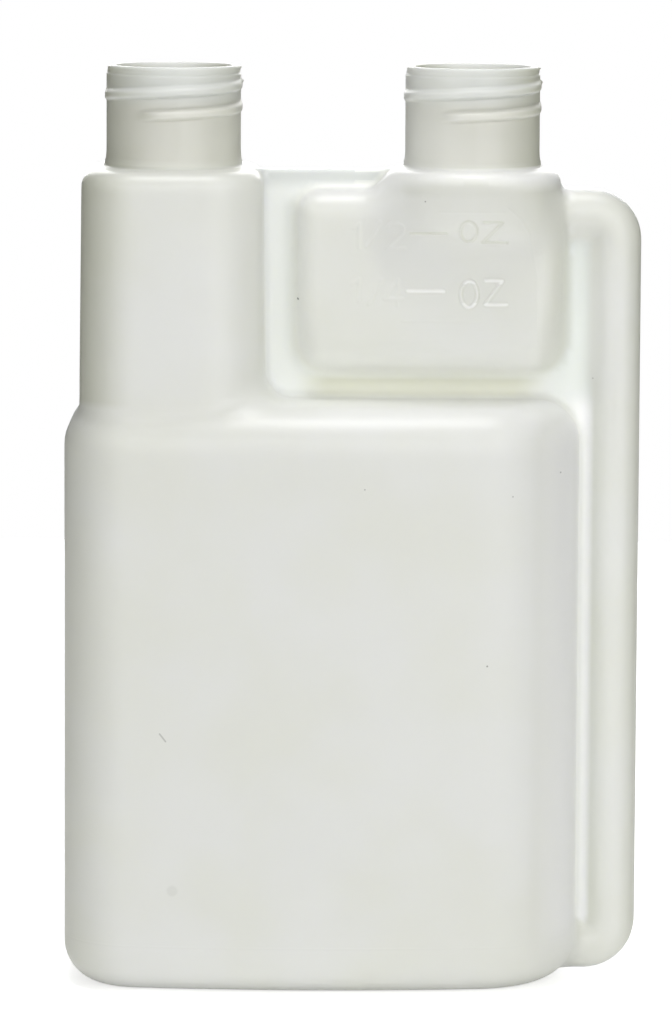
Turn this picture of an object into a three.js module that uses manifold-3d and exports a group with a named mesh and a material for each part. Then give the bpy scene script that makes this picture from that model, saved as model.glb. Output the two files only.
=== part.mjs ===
// A twin-neck dosing bottle, blow moulded in one piece from natural polyethylene.
// Squeezing the reservoir pushes liquid up the side tube into the dosing chamber.
// Millimetres, +Z up. The origin is on the base plane, at the middle of the overall outline.

import * as THREE from 'three';
import { mergeVertices } from 'three/addons/utils/BufferGeometryUtils.js';
import Module from 'manifold-3d';

const wasm = await Module();
wasm.setup();

// Shell
const wall = 1.0;
const webThickness = 1.8;

// Reservoir, in plan a rectangle with rounded corners and slightly bowed faces
const bodyWidth = 97.1;
const bodyDepth = 50;
const bodyHeight = 110.6;
const bodyLeftCorner = 14.5;
const bodyRightCorner = 20.5;
const bodyFaceTilt = 0.11;
const bodyFootRadius = 8;
const bodyShoulderRadius = 8;
const baseRingWidth = 4;
const baseRecess = 1.2;
const baseRecessRoundness = 0.73;

// Column that carries the filling neck
const columnWidth = 34.6;
const columnDepth = 43;
const columnTop = 154.4;
const columnCorner = 11.4;
const columnFaceTilt = 0.05;
const columnDraft = 0.34;
const columnEdgeRadius = 3.2;
const columnFillet = 5.5;

// Necks
const fillNeckInset = 20.2;
const neckSpacing = 56.4;
const neckHeight = 19.1;
const neckDiameter = 25.2;
const neckBore = 22.2;
const neckFlare = 0.8;
const neckFlareHeight = 4.2;
const lipHeight = 1.7;
const lipStep = 0.15;
const rimRadius = 0.35;

// Screw thread, rising to the right and relieved where the mould halves meet
const threadPitch = 4.23;
const threadTurns = 1.5;
const threadStart = -112 * Math.PI / 180;
const threadDrop = 9.2;
const threadReach = 1.15;
const threadRelief = 0.35;
const threadRoot = 2.3;
const threadCrest = 0.9;
const threadFade = 0.12;
const threadReliefSharpness = 8;

// Dosing chamber and the round platform under its neck
const chamberWidth = 50;
const chamberHeight = 34.6;
const chamberDepth = 16.2;
const chamberDrop = 4.1;
const chamberPastNeck = 17.3;
const chamberTopCorner = 4.2;
const chamberBottomCorner = 6.5;
const chamberEdgeRadius = 3.4;
const platformDiameter = 33.6;
const platformEdgeRadius = 2.9;
const chinTop = 5.1;
const chinHeight = 9.7;

// Transfer tube
const tubeDiameter = 9.35;
const tubeGap = 2.25;
const tubeFoot = 0.95;
const tubeHeadDrop = 3.8;
const tubeBend = 5.1;
const webDrop = 0.5;

// Fineness of the facets
const cornerSteps = 6;
const faceSteps = 4;
const roundSteps = 5;
const edgeSteps = 4;
const neckSides = 40;
const rimSteps = 2;
const threadSteps = 28;
const tubeSides = 16;
const bendSteps = 6;
const ballProbes = 40;

// Places that follow from the sizes
const overallWidth = bodyWidth + tubeGap + tubeDiameter;
const bodyLeft = -overallWidth / 2;
const bodyRight = bodyLeft + bodyWidth;
const fillNeckX = bodyLeft + fillNeckInset;
const doseNeckX = fillNeckX + neckSpacing;
const rimHeight = columnTop + neckHeight;
const chamberRight = doseNeckX + chamberPastNeck;
const chamberTop = columnTop - chamberDrop;
const tubeX = bodyRight + tubeGap + tubeDiameter / 2;
const tubeHeadZ = columnTop - tubeHeadDrop - tubeDiameter / 2;
const tubeFootZ = tubeFoot + tubeDiameter / 2;
const neckRadius = neckDiameter / 2;
const overlap = 0.05;

const bodyPlan = {
  left: bodyLeft,
  right: bodyRight,
  halfDepth: bodyDepth / 2,
  leftCorner: bodyLeftCorner,
  rightCorner: bodyRightCorner,
  tilt: bodyFaceTilt,
};

const columnPlan = {
  left: fillNeckX - columnWidth / 2,
  right: fillNeckX + columnWidth / 2,
  halfDepth: columnDepth / 2,
  leftCorner: columnCorner,
  rightCorner: columnCorner,
  tilt: columnFaceTilt,
};

const recessHalfDepth = bodyDepth / 2 - bodyFootRadius - baseRingWidth;
const recessPlan = {
  left: bodyLeft + bodyFootRadius + baseRingWidth,
  right: bodyRight - bodyFootRadius - baseRingWidth,
  halfDepth: recessHalfDepth,
  leftCorner: recessHalfDepth * baseRecessRoundness,
  rightCorner: recessHalfDepth * baseRecessRoundness,
  tilt: bodyFaceTilt,
};

// A closed geometry becomes a solid once only its positions are left and are merged.
function toSolid(geometry) {
  const bare = geometry.clone();
  bare.deleteAttribute('normal');
  bare.deleteAttribute('uv');
  const merged = mergeVertices(bare, 1e-4);
  return new wasm.Manifold(new wasm.Mesh({
    numProp: 3,
    vertProperties: new Float32Array(merged.attributes.position.array),
    triVerts: new Uint32Array(merged.index.array),
  }));
}

function toGeometry(solid) {
  const mesh = solid.getMesh();
  const geometry = new THREE.BufferGeometry();
  geometry.setAttribute('position', new THREE.BufferAttribute(mesh.vertProperties, 3));
  geometry.setIndex(new THREE.BufferAttribute(mesh.triVerts, 1));
  geometry.computeVertexNormals();
  return geometry;
}

function joined(solids) {
  return solids.reduce((whole, solid) => whole.add(solid));
}

// Skin over a stack of equal rings, closed by flat caps. Rings run anticlockwise seen from above.
function loft(rings) {
  const count = rings[0].length;
  const last = rings.length - 1;
  const index = [];
  for (let level = 0; level < last; level += 1) {
    for (let i = 0; i < count; i += 1) {
      const a = level * count + i;
      const b = level * count + (i + 1) % count;
      index.push(a, b, b + count, a, b + count, a + count);
    }
  }
  const flat = (ring) => ring.map((point) => new THREE.Vector2(point.x, point.y));
  for (const [a, b, c] of THREE.ShapeUtils.triangulateShape(flat(rings[0]), [])) {
    index.push(a, c, b);
  }
  for (const [a, b, c] of THREE.ShapeUtils.triangulateShape(flat(rings[last]), [])) {
    index.push(last * count + a, last * count + b, last * count + c);
  }
  const geometry = new THREE.BufferGeometry().setFromPoints(rings.flat());
  geometry.setIndex(index);
  return geometry;
}

// Outline of a plan, moved inwards by inset. Each bowed face leaves its corners at the plan's tilt.
function planOutline(plan, inset) {
  const { tilt } = plan;
  const leftRadius = Math.max(plan.leftCorner - inset, overlap);
  const rightRadius = Math.max(plan.rightCorner - inset, overlap);
  const leftX = plan.left + inset + leftRadius;
  const rightX = plan.right - inset - rightRadius;
  const faceLength = rightX - leftX + (leftRadius + rightRadius) * Math.sin(tilt);
  const faceEnd = plan.halfDepth - inset - faceLength * Math.tan(tilt) / 4;
  const leftY = faceEnd - leftRadius * Math.cos(tilt);
  const rightY = faceEnd - rightRadius * Math.cos(tilt);
  const quarter = Math.PI / 2;
  const corner = (x, y, radius, from, to) =>
    new THREE.EllipseCurve(x, y, radius, radius, from, to).getPoints(cornerSteps);
  const frontLeft = corner(leftX, -leftY, leftRadius, 2 * quarter, 3 * quarter - tilt);
  const frontRight = corner(rightX, -rightY, rightRadius, 3 * quarter + tilt, 4 * quarter);
  const face = bowedFace(frontLeft.at(-1), frontRight[0], tilt);
  const front = [...frontLeft, ...face, ...frontRight];
  const back = front.map((point) => new THREE.Vector2(point.x, -point.y)).reverse();
  return [...front, ...back];
}

// Points of a bow between two corners, without its ends; it bulges towards the front.
function bowedFace(from, to, tilt) {
  const top = new THREE.Vector2((from.x + to.x) / 2, from.y - (to.x - from.x) * Math.tan(tilt) / 2);
  return new THREE.QuadraticBezierCurve(from, top, to).getPoints(faceSteps).slice(1, -1);
}

function ringAt(outline, z) {
  return outline.map((point) => new THREE.Vector3(point.x, point.y, z));
}

// Levels of a rounded edge, as pairs of inset and rise, from the outline at its side to the flat.
function roundedEdge(radius) {
  const steps = [];
  for (let step = 0; step <= roundSteps; step += 1) {
    const angle = step / roundSteps * Math.PI / 2;
    steps.push({ inset: radius * (1 - Math.cos(angle)), rise: radius * Math.sin(angle) });
  }
  return steps;
}

// Reservoir, with every surface moved inwards by inset.
function bodySolid(inset) {
  const footRadius = bodyFootRadius - inset;
  const shoulderRadius = bodyShoulderRadius - inset;
  const foot = roundedEdge(footRadius).reverse().map((step) =>
    ringAt(planOutline(bodyPlan, inset + step.inset), bodyFootRadius - step.rise));
  const shoulder = roundedEdge(shoulderRadius).map((step) =>
    ringAt(planOutline(bodyPlan, inset + step.inset), bodyHeight - bodyShoulderRadius + step.rise));
  return toSolid(loft([...foot, ...shoulder])).subtract(baseRecessSolid(inset));
}

// Shallow recess with sloping sides, inside the ring that the bottle stands on.
function baseRecessSolid(inset) {
  const top = baseRecess + inset;
  return toSolid(loft([
    ringAt(planOutline(recessPlan, -inset), -baseRecess),
    ringAt(planOutline(recessPlan, -inset), 0),
    ringAt(planOutline(recessPlan, baseRecess), top),
  ]));
}

// Distance from a point to an outline, negative outside it.
function depthInside(outline, point) {
  let nearest = Infinity;
  let inside = false;
  outline.forEach((from, i) => {
    const to = outline[(i + 1) % outline.length];
    const along = to.clone().sub(from);
    const share = THREE.MathUtils.clamp(point.clone().sub(from).dot(along) / along.lengthSq(), 0, 1);
    nearest = Math.min(nearest, point.distanceTo(from.clone().addScaledVector(along, share)));
    if ((from.y > point.y) !== (to.y > point.y)) {
      const crossing = from.x + (point.y - from.y) / (to.y - from.y) * along.x;
      if (point.x < crossing) inside = !inside;
    }
  });
  return inside ? nearest : -nearest;
}

// Height of the reservoir's shoulder over a point of the plan.
function shoulderHeight(outline, point, inset) {
  const radius = bodyShoulderRadius - inset;
  const depth = depthInside(outline, point);
  const short = THREE.MathUtils.clamp(radius - depth, 0, radius);
  return bodyHeight - bodyShoulderRadius + Math.sqrt(radius * radius - short * short);
}

// Where a ball that touches an upright wall comes to rest on a surface in front of the wall.
function restingBall(radius, heightAt) {
  let best = { height: -Infinity };
  for (let i = 1; i <= ballProbes; i += 1) {
    const reach = radius * i / ballProbes;
    const drop = Math.sqrt(radius * radius - (radius - reach) ** 2);
    const height = heightAt(reach) + drop;
    if (height > best.height) best = { height, angle: Math.acos(1 - reach / radius) };
  }
  return best;
}

function outwardNormals(outline) {
  return outline.map((point, i) => {
    const before = outline.at(i - 1);
    const after = outline[(i + 1) % outline.length];
    return new THREE.Vector2(after.y - before.y, before.x - after.x).normalize();
  });
}

// Column with a rounded top edge. Its foot flares through a fillet into the reservoir's shoulder.
function columnSolid(inset) {
  const outline = planOutline(columnPlan, inset);
  const normals = outwardNormals(outline);
  const bodyOutline = planOutline(bodyPlan, inset);
  const fillet = columnFillet + inset;
  const balls = outline.map((point, i) => restingBall(fillet, (reach) =>
    shoulderHeight(bodyOutline, point.clone().addScaledVector(normals[i], reach), inset)));
  const rooted = outline.map((point, i) => point.clone().addScaledVector(normals[i], -wall));
  const rings = [ringAt(rooted, bodyHeight - bodyShoulderRadius - fillet)];
  for (let step = roundSteps; step >= 0; step -= 1) {
    rings.push(outline.map((point, i) => {
      const angle = balls[i].angle * step / roundSteps;
      const flare = point.clone().addScaledVector(normals[i], fillet * (1 - Math.cos(angle)));
      return new THREE.Vector3(flare.x, flare.y, balls[i].height - fillet * Math.sin(angle) - overlap);
    }));
  }
  const edgeRadius = columnEdgeRadius - inset;
  for (const { inset: edge, rise } of roundedEdge(edgeRadius)) {
    const level = planOutline(columnPlan, inset + columnDraft + edge);
    rings.push(ringAt(level, columnTop - columnEdgeRadius + rise));
  }
  return toSolid(loft(rings));
}

// Solid of revolution about an upright axis, from a profile of radii and heights that ends on the axis.
function turned(profile, x) {
  const geometry = new THREE.LatheGeometry(profile, neckSides);
  geometry.rotateX(Math.PI / 2);
  geometry.translate(x, 0, 0);
  return toSolid(geometry);
}

function point2(x, y) {
  return new THREE.Vector2(x, y);
}

// Neck with a flared root, a fine step under the lip and a softened rim.
function neckSolid(x) {
  const rootRadius = neckRadius + neckFlare;
  const flareTop = columnTop + neckFlareHeight;
  const flare = new THREE.QuadraticBezierCurve(
    point2(rootRadius, columnTop),
    point2(neckRadius, columnTop + neckFlareHeight / 3),
    point2(neckRadius, flareTop),
  ).getPoints(edgeSteps);
  const lipRadius = neckRadius - lipStep;
  const lipBottom = rimHeight - lipHeight;
  const rim = new THREE.EllipseCurve(
    lipRadius - rimRadius, rimHeight - rimRadius, rimRadius, rimRadius, 0, Math.PI / 2,
  ).getPoints(rimSteps);
  return turned([
    point2(0, columnTop - wall),
    point2(rootRadius, columnTop - wall),
    ...flare,
    point2(neckRadius, lipBottom),
    point2(lipRadius, lipBottom + lipStep),
    ...rim,
    point2(0, rimHeight),
  ], x);
}

function neckBoreSolid(x) {
  const boreRadius = neckBore / 2;
  return turned([
    point2(0, columnTop - 2 * wall),
    point2(boreRadius, columnTop - 2 * wall),
    point2(boreRadius, rimHeight + wall),
    point2(0, rimHeight + wall),
  ], x);
}

// Reach of the thread over the neck wall: it fades in and out, and shrinks at the mould's parting.
function threadReachAt(angle, share) {
  const fade = Math.min(1, share * threadTurns / threadFade, (1 - share) * threadTurns / threadFade);
  const parting = Math.abs(Math.cos(angle)) ** threadReliefSharpness;
  return fade * (threadReach - (threadReach - threadRelief) * parting);
}

// Thread as rings of a trapezium along a helix.
function threadSolid(x) {
  const steps = Math.round(threadSteps * threadTurns);
  const embed = wall / 2;
  const rings = [];
  for (let step = 0; step <= steps; step += 1) {
    const share = step / steps;
    const angle = threadStart + share * threadTurns * 2 * Math.PI;
    const height = rimHeight - threadDrop + threadPitch * share * threadTurns;
    const crest = neckRadius + threadReachAt(angle, share);
    const place = (radius, rise) =>
      new THREE.Vector3(x + radius * Math.cos(angle), radius * Math.sin(angle), height + rise);
    rings.push([
      place(neckRadius - embed, -threadRoot / 2),
      place(neckRadius - embed, threadRoot / 2),
      place(crest, threadCrest / 2),
      place(crest, -threadCrest / 2),
    ]);
  }
  return toSolid(sweep(rings));
}

// Skin over quadrilateral rings along a path, closed at both ends.
function sweep(rings) {
  const last = (rings.length - 1) * 4;
  const index = [];
  for (let level = 0; level < rings.length - 1; level += 1) {
    for (let i = 0; i < 4; i += 1) {
      const a = level * 4 + i;
      const b = level * 4 + (i + 1) % 4;
      index.push(a, b, b + 4, a, b + 4, a + 4);
    }
  }
  index.push(0, 2, 1, 0, 3, 2, last, last + 1, last + 2, last, last + 2, last + 3);
  const geometry = new THREE.BufferGeometry().setFromPoints(rings.flat());
  geometry.setIndex(index);
  return geometry;
}

// Plate or block from an outline in the XZ plane, centred on the plane where the mould halves meet.
function upright(shape, options) {
  const geometry = new THREE.ExtrudeGeometry(shape, options);
  geometry.rotateX(Math.PI / 2);
  geometry.computeBoundingBox();
  const { min, max } = geometry.boundingBox;
  geometry.translate(0, -(min.y + max.y) / 2, 0);
  return toSolid(geometry);
}

function roundedRectangle(left, right, bottom, top, bottomRadius, topRadius) {
  const quarter = Math.PI / 2;
  const shape = new THREE.Shape();
  shape.absarc(right - bottomRadius, bottom + bottomRadius, bottomRadius, -quarter, 0);
  shape.absarc(right - topRadius, top - topRadius, topRadius, 0, quarter);
  shape.absarc(left + topRadius, top - topRadius, topRadius, quarter, 2 * quarter);
  shape.absarc(left + bottomRadius, bottom + bottomRadius, bottomRadius, 2 * quarter, 3 * quarter);
  return shape;
}

// Dosing chamber, a flat box with rounded corners and edges.
function chamberSolid(inset) {
  const edge = chamberEdgeRadius - inset;
  const outline = roundedRectangle(
    chamberRight - chamberWidth + inset, chamberRight - inset,
    chamberTop - chamberHeight + inset, chamberTop - inset,
    chamberBottomCorner - inset, chamberTopCorner - inset,
  );
  return upright(outline, {
    depth: chamberDepth - 2 * inset - 2 * edge,
    curveSegments: edgeSteps,
    bevelThickness: edge,
    bevelSize: edge,
    bevelOffset: -edge,
    bevelSegments: edgeSteps,
  });
}

// Round platform under the dosing neck. Its front and back slope in to the chamber's faces.
function platformSolid(inset) {
  const radius = platformDiameter / 2 - inset;
  const edge = platformEdgeRadius - inset;
  const floor = chamberTop - chamberHeight / 2;
  const rounding = roundedEdge(edge).map((step) =>
    point2(radius - step.inset, columnTop - platformEdgeRadius + step.rise));
  const crown = point2(0, columnTop - inset);
  const drum = turned([point2(0, floor), point2(radius, floor), ...rounding, crown], doseNeckX);
  return drum.intersect(chinWedge(inset));
}

// Wedge that trims the platform: full width above, sloping in to the depth of the chamber.
function chinWedge(inset) {
  const outer = platformDiameter / 2;
  const inner = chamberDepth / 2;
  const slope = Math.atan2(outer - inner, chinHeight);
  const shift = inset / Math.cos(slope);
  const chinZ = columnTop - chinTop;
  const run = (z) => outer - shift - (chinZ - z) * Math.tan(slope);
  const above = columnTop + wall;
  const below = chinZ - chinHeight - inset;
  const deep = run(above);
  const shape = new THREE.Shape([
    point2(-run(below), below),
    point2(run(below), below),
    point2(deep, above),
    point2(-deep, above),
  ]);
  const geometry = new THREE.ExtrudeGeometry(shape, { depth: chamberWidth, bevelEnabled: false });
  geometry.rotateX(Math.PI / 2);
  geometry.rotateZ(Math.PI / 2);
  geometry.translate(doseNeckX - chamberWidth / 2, 0, 0);
  return toSolid(geometry);
}

// Route made of straight runs and bends, with one step for each stretch between its stations.
class PipeRoute extends THREE.Curve {
  constructor(stations) {
    super();
    this.stations = stations;
  }

  getPoint(t) {
    const place = t * (this.stations.length - 1);
    const before = Math.min(Math.floor(place), this.stations.length - 2);
    return this.stations[before].clone().lerp(this.stations[before + 1], place - before);
  }

  getUtoTmapping(u) {
    return u;
  }
}

function bend(x, z, from, to) {
  const points = new THREE.EllipseCurve(x, z, tubeBend, tubeBend, from, to, from > to).getPoints(bendSteps);
  return points.map((point) => new THREE.Vector3(point.x, 0, point.y));
}

// Side tube, from the reservoir's foot up and over into the dosing chamber.
function tubeSolid(inset) {
  const quarter = Math.PI / 2;
  const stations = [
    new THREE.Vector3(bodyRight - bodyFootRadius, 0, tubeFootZ),
    ...bend(tubeX - tubeBend, tubeFootZ + tubeBend, -quarter, 0),
    ...bend(tubeX - tubeBend, tubeHeadZ - tubeBend, 0, quarter),
    new THREE.Vector3(chamberRight - chamberTopCorner, 0, tubeHeadZ),
  ];
  const section = new THREE.Shape();
  section.absarc(0, 0, tubeDiameter / 2 - inset, 0, 2 * Math.PI);
  return toSolid(new THREE.ExtrudeGeometry(section, {
    curveSegments: tubeSides / 2,
    steps: stations.length - 1,
    extrudePath: new PipeRoute(stations),
  }));
}

// Web that the mould pinches flat between the column, the chamber, the tube and the reservoir.
function webSolid() {
  const top = columnTop - webDrop;
  const bendX = tubeX - tubeBend;
  const quarter = Math.PI / 2;
  const shape = new THREE.Shape();
  shape.moveTo(fillNeckX, tubeFootZ);
  shape.lineTo(bendX, tubeFootZ);
  shape.absarc(bendX, tubeFootZ + tubeBend, tubeBend, -quarter, 0);
  shape.absarc(bendX, tubeHeadZ - tubeBend, tubeBend, 0, quarter);
  shape.lineTo(doseNeckX, tubeHeadZ);
  shape.lineTo(doseNeckX, top);
  shape.lineTo(fillNeckX, top);
  return upright(shape, { depth: webThickness, bevelEnabled: false, curveSegments: edgeSteps });
}

function bottleGeometry() {
  const outside = joined([
    bodySolid(0),
    columnSolid(0),
    neckSolid(fillNeckX),
    neckSolid(doseNeckX),
    threadSolid(fillNeckX),
    threadSolid(doseNeckX),
    chamberSolid(0),
    platformSolid(0),
    tubeSolid(0),
    webSolid(),
  ]);
  const inside = joined([
    bodySolid(wall),
    columnSolid(wall),
    neckBoreSolid(fillNeckX),
    neckBoreSolid(doseNeckX),
    chamberSolid(wall),
    platformSolid(wall),
    tubeSolid(wall),
  ]);
  return toGeometry(outside.subtract(inside));
}

const naturalPolyethylene = new THREE.MeshStandardMaterial({
  color: 0xdfe1da,
  roughness: 0.42,
  metalness: 0,
});

const bottle = new THREE.Mesh(bottleGeometry(), naturalPolyethylene);
bottle.name = 'bottle';

const dosingBottle = new THREE.Group();
dosingBottle.add(bottle);

export default dosingBottle;
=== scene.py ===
import math

import bpy
import numpy as np
from mathutils import Matrix, Vector


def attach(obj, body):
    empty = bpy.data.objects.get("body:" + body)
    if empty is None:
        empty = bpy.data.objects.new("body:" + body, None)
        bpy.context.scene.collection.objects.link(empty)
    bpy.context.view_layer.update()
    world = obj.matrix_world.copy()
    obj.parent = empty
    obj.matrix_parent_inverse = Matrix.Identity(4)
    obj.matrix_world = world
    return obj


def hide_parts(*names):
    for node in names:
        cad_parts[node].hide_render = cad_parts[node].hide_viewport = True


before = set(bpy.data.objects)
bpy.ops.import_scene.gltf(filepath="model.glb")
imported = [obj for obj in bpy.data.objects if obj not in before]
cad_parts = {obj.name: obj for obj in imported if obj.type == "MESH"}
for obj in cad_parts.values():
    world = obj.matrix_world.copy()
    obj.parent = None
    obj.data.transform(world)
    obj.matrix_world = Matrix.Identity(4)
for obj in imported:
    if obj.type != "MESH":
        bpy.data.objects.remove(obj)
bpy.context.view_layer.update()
print("frame loaded")

# Lengths are in millimetres until a mesh is made. +Z is up and -Y is the front.
millimetre = 0.001

# Reservoir: a rounded plan with bowed faces, rounded at the foot and the shoulder.
body = {
    "left": -54.35, "right": 42.75, "halfDepth": 25.0, "leftCorner": 14.5, "rightCorner": 20.5,
    "tilt": 0.11, "height": 110.6, "edge": 8.0, "ringWidth": 12.0, "recess": 1.2,
    "recessCorner": 9.49, "recessEdge": 0.8,
}

# Column under the filling neck. Its foot is a fillet that rests on the shoulder, and inside the
# column the fillet's distance goes no deeper than "deepest".
column = {
    "left": -51.45, "right": -16.85, "halfDepth": 21.5, "leftCorner": 11.4, "rightCorner": 11.4,
    "tilt": 0.05, "top": 154.4, "draft": 0.34, "foot": 115.0, "root": 98.0, "edge": 3.2,
    "fillet": 5.5, "deepest": -3.0,
}

# Dosing chamber with the round platform on top of it.
chamber = {
    "left": -10.45, "right": 39.55, "bottom": 115.7, "top": 150.3, "depth": 16.2,
    "topCorner": 4.2, "bottomCorner": 6.5, "edge": 4.8,
    "lowEdge": 7.2, "lowFrom": 3.0, "lowSpan": 11.0,
}
platform = {
    "x": 22.25, "radius": 16.8, "top": 154.4, "edge": 2.9, "floor": 133.0,
    "chinTop": 149.3, "chinHeight": 9.7, "chinEdge": 4.4, "crease": 1.6,
    "leftCrease": 6.0, "leftSpan": (8, 21), "leftDepth": (1.5, 6), "leftLeast": 0.4,
}

# Side tube and the web that the mould pinches flat between the hollow parts.
tube = {
    "x": 49.675, "foot": 5.625, "head": 145.925, "bend": 5.1, "radius": 4.675,
    "footEnd": 36.0, "headEnd": 38.2, "footJoin": 1.6, "headJoin": 1.0,
}
web = {
    "thickness": 1.8, "top": 153.9, "edge": 0.35, "overlap": 4.0, "columnOverlap": 2.5,
    "columnTo": 7.5, "chamberFrom": -2.0, "join": 1.4, "chamberJoin": 2.8,
    "wideAcross": (-15, -11), "wideUp": (112.5, 115.5, 148, 151),
}

# The whole moulding: its wall, and the box and steps of the grids that its skins are made on.
shell = {
    "wall": 1.0, "outerStep": 1.3, "innerStep": 2.2,
    "low": (-56.0, -26.45, -0.95), "high": (56.0, 26.45, 156.5),
}


def roundJoin(a, b, radius):
    # Union of two solids, with a fillet of this radius where both are near.
    return np.maximum(radius, np.minimum(a, b)) - np.hypot(
        np.maximum(radius - a, 0), np.maximum(radius - b, 0)
    )


def roundMeet(a, b, radius):
    # Common part of two solids, with its edge rounded by this radius.
    return -roundJoin(-a, -b, radius)


def planDistance(x, y, plan):
    # Distance to a plan outline: straight sides, round corners, faces bowed as a parabola.
    y = np.abs(y)
    tilt = plan["tilt"]
    leftX = plan["left"] + plan["leftCorner"]
    rightX = plan["right"] - plan["rightCorner"]
    faceStart = leftX - plan["leftCorner"] * math.sin(tilt)
    faceStop = rightX + plan["rightCorner"] * math.sin(tilt)
    half = (faceStop - faceStart) / 2
    sag = half * math.tan(tilt) / 2
    across = (x - (faceStart + faceStop) / 2) / half
    face = (y - plan["halfDepth"] + sag * across ** 2) / np.hypot(1, 2 * sag / half * across)
    leftY = plan["halfDepth"] - sag - plan["leftCorner"] * math.cos(tilt)
    rightY = plan["halfDepth"] - sag - plan["rightCorner"] * math.cos(tilt)
    result = np.where((x < leftX) & (y <= leftY), plan["left"] - x, face)
    result = np.where((x > rightX) & (y <= rightY), x - plan["right"], result)
    toward = (x - leftX) * math.cos(tilt) + (y - leftY) * math.sin(tilt)
    corner = np.hypot(x - leftX, y - leftY) - plan["leftCorner"]
    result = np.where((y > leftY) & (toward < 0), corner, result)
    toward = (x - rightX) * math.cos(tilt) - (y - rightY) * math.sin(tilt)
    corner = np.hypot(x - rightX, y - rightY) - plan["rightCorner"]
    return np.where((y > rightY) & (toward > 0), corner, result)


recessPlan = {
    "left": body["left"] + body["ringWidth"], "right": body["right"] - body["ringWidth"],
    "halfDepth": body["halfDepth"] - body["ringWidth"], "tilt": body["tilt"],
    "leftCorner": body["recessCorner"], "rightCorner": body["recessCorner"],
}


def bodyDistance(x, y, z):
    # The plan carried upright and rounded top and bottom, less a recess with sloping sides.
    middle = body["height"] / 2
    solid = roundMeet(planDistance(x, y, body), np.abs(z - middle) - middle, body["edge"])
    slope = (planDistance(x, y, recessPlan) + z) * math.sqrt(0.5)
    recess = np.maximum(slope, z - body["recess"])
    return roundMeet(solid, -recess, body["recessEdge"])


def columnDistance(x, y, z):
    # The plan, which draws in evenly from the foot to the top, with a rounded top edge.
    rise = np.clip((z - column["foot"]) / (column["top"] - column["edge"] - column["foot"]), 0, 1)
    plan = planDistance(x, y, column) + column["draft"] * rise
    return np.maximum(roundMeet(plan, z - column["top"], column["edge"]), column["root"] - z)


def reservoirDistance(x, y, z):
    # The fillet at the column's foot is the mark of a ball that touches the upright wall and
    # rests on the rounded shoulder. The ball's centre lies one radius off the wall, and it is as
    # high as lets the ball touch the shoulder's own rounding.
    solid = np.minimum(bodyDistance(x, y, z), columnDistance(x, y, z))
    radius, edge = column["fillet"], body["edge"]
    off = planDistance(x, y, column)
    small = 0.01
    awayX = planDistance(x + small, y, column) - planDistance(x - small, y, column)
    awayY = planDistance(x, y + small, column) - planDistance(x, y - small, column)
    ballX = x + awayX / (2 * small) * (radius - off)
    ballY = y + awayY / (2 * small) * (radius - off)
    over = np.maximum(planDistance(ballX, ballY, body) + edge, 0)
    lift = np.sqrt(np.maximum((radius + edge) ** 2 - over ** 2, 0))
    ballZ = body["height"] - edge + lift
    near = (z < ballZ) & (off < radius) & ((radius - off) * lift >= (ballZ - z) * over)
    near &= z > body["height"] - edge - 1
    ball = radius - np.hypot(radius - off, ballZ - z)
    return np.where(near, np.maximum(ball, column["deepest"]), solid)


def chamberDistance(x, y, z):
    # Rounded rectangle in the upright plane, then the edges rounded towards front and back.
    halfWidth = (chamber["right"] - chamber["left"]) / 2
    halfHeight = (chamber["top"] - chamber["bottom"]) / 2
    u = np.abs(x - (chamber["left"] + chamber["right"]) / 2) - halfWidth
    rise = z - (chamber["bottom"] + chamber["top"]) / 2
    v = np.abs(rise) - halfHeight
    upper = roundMeet(u, v, chamber["topCorner"])
    lower = roundMeet(u, v, chamber["bottomCorner"])
    outline = np.where(rise > 0, upper, lower)
    low = chamber["bottom"] + chamber["lowFrom"]
    edge = np.interp(z, (low, low + chamber["lowSpan"]), (chamber["lowEdge"], chamber["edge"]))
    return roundMeet(outline, np.abs(y) - chamber["depth"] / 2, edge)


def platformDistance(x, y, z):
    # Drum with a rounded top, trimmed in front and behind by a wedge that slopes to the chamber.
    drum = roundMeet(
        np.hypot(x - platform["x"], y) - platform["radius"], z - platform["top"], platform["edge"]
    )
    slope = math.atan2(platform["radius"] - chamber["depth"] / 2, platform["chinHeight"])
    reach = platform["radius"] - (platform["chinTop"] - z) * math.tan(slope)
    wedge = (np.abs(y) - reach) * math.cos(slope)
    return np.maximum(roundMeet(drum, wedge, platform["chinEdge"]), platform["floor"] - z)


def tubeDistance(x, y, z):
    # The route is the right-hand part of a large rounded rectangle, cut off at both of its ends.
    middle = (tube["foot"] + tube["head"]) / 2
    halfHeight = (tube["head"] - tube["foot"]) / 2
    outline = roundMeet(x - tube["x"], np.abs(z - middle) - halfHeight, tube["bend"])
    beyond = np.where(z > middle, tube["headEnd"] - x, tube["footEnd"] - x)
    return np.hypot(np.hypot(outline, np.maximum(beyond, 0)), y) - tube["radius"]


def webDistance(x, y, z):
    # Three overlapping upright plates on the middle plane: beside the column, round the chamber
    # and beside the body.
    def plate(left, right, bottom, top):
        return np.maximum(np.maximum(left - x, x - right), np.maximum(bottom - z, z - top))
    floor = body["height"] - web["overlap"]
    byColumn = plate(column["right"] - web["columnOverlap"], web["columnTo"], floor, web["top"])
    byChamber = plate(web["chamberFrom"], tube["x"], floor, tube["head"])
    byBody = plate(body["right"] - web["overlap"], tube["x"], tube["foot"] + 2, tube["head"])
    outline = np.minimum(byColumn, np.minimum(byChamber, byBody))
    return roundMeet(outline, np.abs(y) - web["thickness"] / 2, web["edge"])


def dosingDistance(x, y, z):
    # The crease between the drum and the chamber is widest in front, to the left of the drum.
    toLeft = np.interp(x, platform["leftSpan"], (1, 0))
    toLeft = toLeft * np.interp(np.abs(y), platform["leftDepth"], (platform["leftLeast"], 1))
    crease = platform["crease"] + (platform["leftCrease"] - platform["crease"]) * toLeft
    return roundJoin(chamberDistance(x, y, z), platformDistance(x, y, z), crease)


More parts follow.
